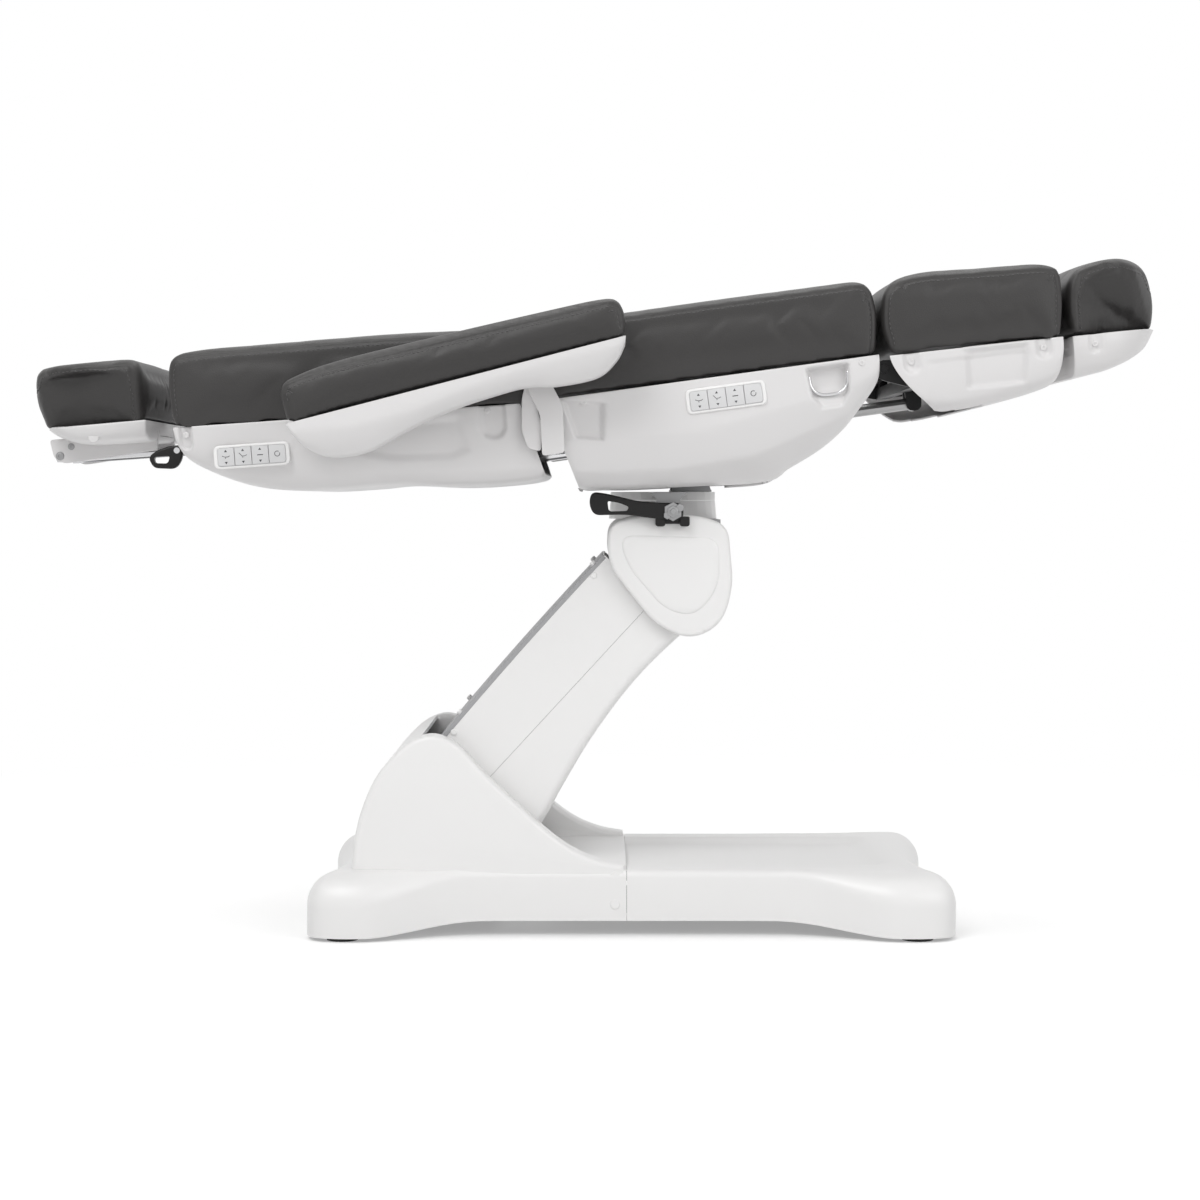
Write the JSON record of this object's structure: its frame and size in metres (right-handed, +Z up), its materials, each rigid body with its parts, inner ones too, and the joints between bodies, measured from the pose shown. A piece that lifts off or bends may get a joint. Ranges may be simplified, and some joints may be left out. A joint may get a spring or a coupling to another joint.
{
  "type": "electric spa treatment table",
  "caption": "Electric spa treatment table with a cushioned seat, back, legrest, sliding foot section, headrest and armrests on a lifting, swivelling parallelogram arm and a wide covered base.",
  "frame": {"origin": "on the floor under the middle of the table's bounding box, at the underside of the four levelling feet", "axes": "+X runs along the table from the headrest to the foot section, +Z is up, +Y is towards the table's far side"},
  "size_m": [1.8333, 0.8628, 1.0682],
  "materials": {
    "black_steel": "satin black powder coat",
    "grey_steel": "satin grey paint",
    "bright_steel": "polished",
    "white_shell": "satin moulded ABS",
    "vinyl": "soft upholstery vinyl over foam, fine grain",
    "black_plastic": "moulded",
    "key_plastic": "smooth membrane keys"
  },
  "bodies": {
    "base": {"base_frame": "black_steel", "base_cover_head": "white_shell", "base_cover_foot": "white_shell", "control_box": "black_plastic", "mains_inlet": "black_plastic", "levelling_foot_1": "black_plastic", "levelling_foot_2": "black_plastic", "levelling_foot_3": "black_plastic", "levelling_foot_4": "black_plastic"},
    "arm": {"lift_arm": "black_steel", "arm_cover_upper": "white_shell", "arm_cover_lower": "white_shell"},
    "lift_rod": {"lift_actuator_rod": "bright_steel"},
    "tie": {"tie_link": "black_steel"},
    "level_head": {"arm_head": "grey_steel", "head_cover_near": "white_shell", "head_cover_far": "white_shell", "swivel_collar": "white_shell", "lock_mount": "black_steel"},
    "lift_tube": {"lift_actuator_tube": "grey_steel"},
    "lock_lever": {"lock_lever": "black_plastic"},
    "swivel": {"swivel_plate": "white_shell", "tilt_bracket": "grey_steel", "lock_bracket": "grey_steel"},
    "seat": {"seat_frame": "black_steel", "seat_shell": "white_shell", "seat_cushion": "vinyl", "tilt_actuator_tube": "grey_steel"},
    "tilt_rod": {"tilt_actuator_rod": "bright_steel"},
    "strap_ring_near": {"strap_ring_near": "bright_steel"},
    "strap_ring_far": {"strap_ring_far": "bright_steel"},
    "back": {"back_frame": "black_steel", "back_shell": "white_shell", "back_cushion": "vinyl"},
    "back_rod": {"back_actuator_rod": "bright_steel"},
    "back_tube": {"back_actuator_tube": "grey_steel"},
    "head_rails": {"head_rails": "black_steel"},
    "head_lever": {"head_lever": "black_plastic"},
    "headrest": {"head_shell": "white_shell", "head_cushion": "vinyl"},
    "armrest_near": {"armrest_near_shell": "white_shell", "armrest_near_cushion": "vinyl"},
    "armrest_far": {"armrest_far_shell": "white_shell", "armrest_far_cushion": "vinyl"},
    "legrest": {"leg_frame": "black_steel", "leg_shell": "white_shell", "leg_cushion": "vinyl"},
    "leg_rod": {"leg_actuator_rod": "bright_steel"},
    "leg_tube": {"leg_actuator_tube": "grey_steel"},
    "footrest": {"foot_shell": "white_shell", "foot_cushion": "vinyl", "foot_rails": "black_steel"},
    "seat_key_1": {"seat_key_1": "key_plastic"},
    "back_key_1": {"back_key_1": "key_plastic"},
    "seat_key_2": {"seat_key_2": "key_plastic"},
    "back_key_2": {"back_key_2": "key_plastic"},
    "seat_key_3": {"seat_key_3": "key_plastic"},
    "back_key_3": {"back_key_3": "key_plastic"},
    "seat_key_4": {"seat_key_4": "key_plastic"},
    "back_key_4": {"back_key_4": "key_plastic"}
  },
  "joints": [
    {"name": "lift", "type": "hinge", "parent": "base", "child": "arm", "pos_m": [-0.258, 0, 0.194], "axis": [0, -1, 0], "range_deg": [-32, 0]},
    {"name": "tie_swing", "type": "hinge", "parent": "base", "child": "tie", "pos_m": [-0.207, 0, 0.146], "axis": [0, -1, 0], "range_deg": [-32, 0]},
    {"name": "head_level", "type": "hinge", "parent": "arm", "child": "level_head", "pos_m": [0.10549, 0, 0.58791], "axis": [0, 1, 0], "range_deg": [-32, 0]},
    {"name": "lift_ram_swing", "type": "hinge", "parent": "arm", "child": "lift_rod", "pos_m": [0.04831, 0, 0.49645], "axis": [0, 1, 0], "range_deg": [-0.2, 1.4]},
    {"name": "lift_ram", "type": "slide", "parent": "lift_rod", "child": "lift_tube", "axis": [0.5097, 0, 0.8603], "range_m": [-0.001, 0.064]},
    {"name": "swivel_turn", "type": "hinge", "parent": "level_head", "child": "swivel", "pos_m": [0.106, 0, 0.709], "axis": [0, 0, 1], "range_deg": [-120, 120]},
    {"name": "lock_lever_turn", "type": "hinge", "parent": "level_head", "child": "lock_lever", "pos_m": [0.117, -0.202, 0.684], "axis": [0, 1, 0], "range_deg": [-25, 0]},
    {"name": "tilt", "type": "hinge", "parent": "swivel", "child": "seat", "pos_m": [0.152, 0, 0.755], "axis": [0, 1, 0], "range_deg": [-1, 8]},
    {"name": "tilt_ram", "type": "slide", "parent": "seat", "child": "tilt_rod", "axis": [0.9985, 0, 0.0555], "range_m": [-0.008, 0.004]},
    {"name": "back_raise", "type": "hinge", "parent": "seat", "child": "back", "pos_m": [-0.098, 0, 0.885], "axis": [0, 1, 0], "range_deg": [-3, 68]},
    {"name": "back_ram_swing", "type": "hinge", "parent": "back", "child": "back_rod", "pos_m": [-0.12504, 0.095, 0.77291], "axis": [0, 1, 0], "range_deg": [-52, 3]},
    {"name": "back_ram", "type": "slide", "parent": "back_rod", "child": "back_tube", "axis": [0.9898, 0, 0.1428], "range_m": [-0.005, 0.099]},
    {"name": "headrest_slide", "type": "slide", "parent": "back", "child": "head_rails", "axis": [-0.9976, 0, -0.0698], "range_m": [0, 0.12]},
    {"name": "headrest_lever_turn", "type": "hinge", "parent": "head_rails", "child": "head_lever", "pos_m": [-0.68639, -0.153, 0.78278], "axis": [0, 1, 0], "range_deg": [-20, 0]},
    {"name": "headrest_tilt", "type": "hinge", "parent": "head_rails", "child": "headrest", "pos_m": [-0.89359, 0, 0.77508], "axis": [0, 1, 0], "range_deg": [-25, 0]},
    {"name": "armrest_near_turn", "type": "hinge", "parent": "back", "child": "armrest_near", "pos_m": [-0.4, -0.38, 0.803], "axis": [0, 1, 0], "range_deg": [-80, 12]},
    {"name": "armrest_far_turn", "type": "hinge", "parent": "back", "child": "armrest_far", "pos_m": [-0.4, 0.38, 0.803], "axis": [0, 1, 0], "range_deg": [-80, 12]},
    {"name": "leg_drop", "type": "hinge", "parent": "seat", "child": "legrest", "pos_m": [0.45, 0, 0.91], "axis": [0, 1, 0], "range_deg": [0, 70]},
    {"name": "leg_ram_swing", "type": "hinge", "parent": "legrest", "child": "leg_rod", "pos_m": [0.52688, 0, 0.86517], "axis": [0, 1, 0], "range_deg": [-61, 0]},
    {"name": "leg_ram", "type": "slide", "parent": "leg_rod", "child": "leg_tube", "axis": [-0.9908, 0, -0.1355], "range_m": [-0.093, 0]},
    {"name": "foot_slide", "type": "slide", "parent": "legrest", "child": "footrest", "axis": [0.994, 0, 0.1097], "range_m": [0, 0.1]},
    {"name": "strap_ring_near_swing", "type": "hinge", "parent": "seat", "child": "strap_ring_near", "pos_m": [0.35689, -0.294, 0.89933], "axis": [-0.9909, 0, -0.1349], "range_deg": [0, 90]},
    {"name": "strap_ring_far_swing", "type": "hinge", "parent": "seat", "child": "strap_ring_far", "pos_m": [0.35689, 0.294, 0.89933], "axis": [0.9909, 0, 0.1349], "range_deg": [0, 90]},
    {"name": "seat_key_1_press", "type": "slide", "parent": "seat", "child": "seat_key_1", "axis": [0, 1, 0], "range_m": [0, 0.0015], "stiffness_N_per_m": 600, "springref_m": -0.0005},
    {"name": "seat_key_2_press", "type": "slide", "parent": "seat", "child": "seat_key_2", "axis": [0, 1, 0], "range_m": [0, 0.0015], "stiffness_N_per_m": 600, "springref_m": -0.0005},
    {"name": "seat_key_3_press", "type": "slide", "parent": "seat", "child": "seat_key_3", "axis": [0, 1, 0], "range_m": [0, 0.0015], "stiffness_N_per_m": 600, "springref_m": -0.0005},
    {"name": "seat_key_4_press", "type": "slide", "parent": "seat", "child": "seat_key_4", "axis": [0, 1, 0], "range_m": [0, 0.0015], "stiffness_N_per_m": 600, "springref_m": -0.0005},
    {"name": "back_key_1_press", "type": "slide", "parent": "back", "child": "back_key_1", "axis": [0, 1, 0], "range_m": [0, 0.0015], "stiffness_N_per_m": 600, "springref_m": -0.0005},
    {"name": "back_key_2_press", "type": "slide", "parent": "back", "child": "back_key_2", "axis": [0, 1, 0], "range_m": [0, 0.0015], "stiffness_N_per_m": 600, "springref_m": -0.0005},
    {"name": "back_key_3_press", "type": "slide", "parent": "back", "child": "back_key_3", "axis": [0, 1, 0], "range_m": [0, 0.0015], "stiffness_N_per_m": 600, "springref_m": -0.0005},
    {"name": "back_key_4_press", "type": "slide", "parent": "back", "child": "back_key_4", "axis": [0, 1, 0], "range_m": [0, 0.0015], "stiffness_N_per_m": 600, "springref_m": -0.0005}
  ],
  "couplings": [
    {"joint": "tie_swing", "follows": "lift", "ratio": 1},
    {"joint": "head_level", "follows": "lift", "ratio": 1},
    {"joint": "lift_ram_swing", "follows": "lift", "ratio": -0.035},
    {"joint": "lift_ram", "follows": "lift", "m_per_rad": -0.1076},
    {"joint": "tilt_ram", "follows": "tilt", "m_per_rad": -0.05},
    {"joint": "back_ram_swing", "follows": "back_raise", "ratio": -0.7527},
    {"joint": "back_ram", "follows": "back_raise", "m_per_rad": 0.08216},
    {"joint": "leg_ram_swing", "follows": "leg_drop", "ratio": -0.8631},
    {"joint": "leg_ram", "follows": "leg_drop", "m_per_rad": -0.07576}
  ]
}
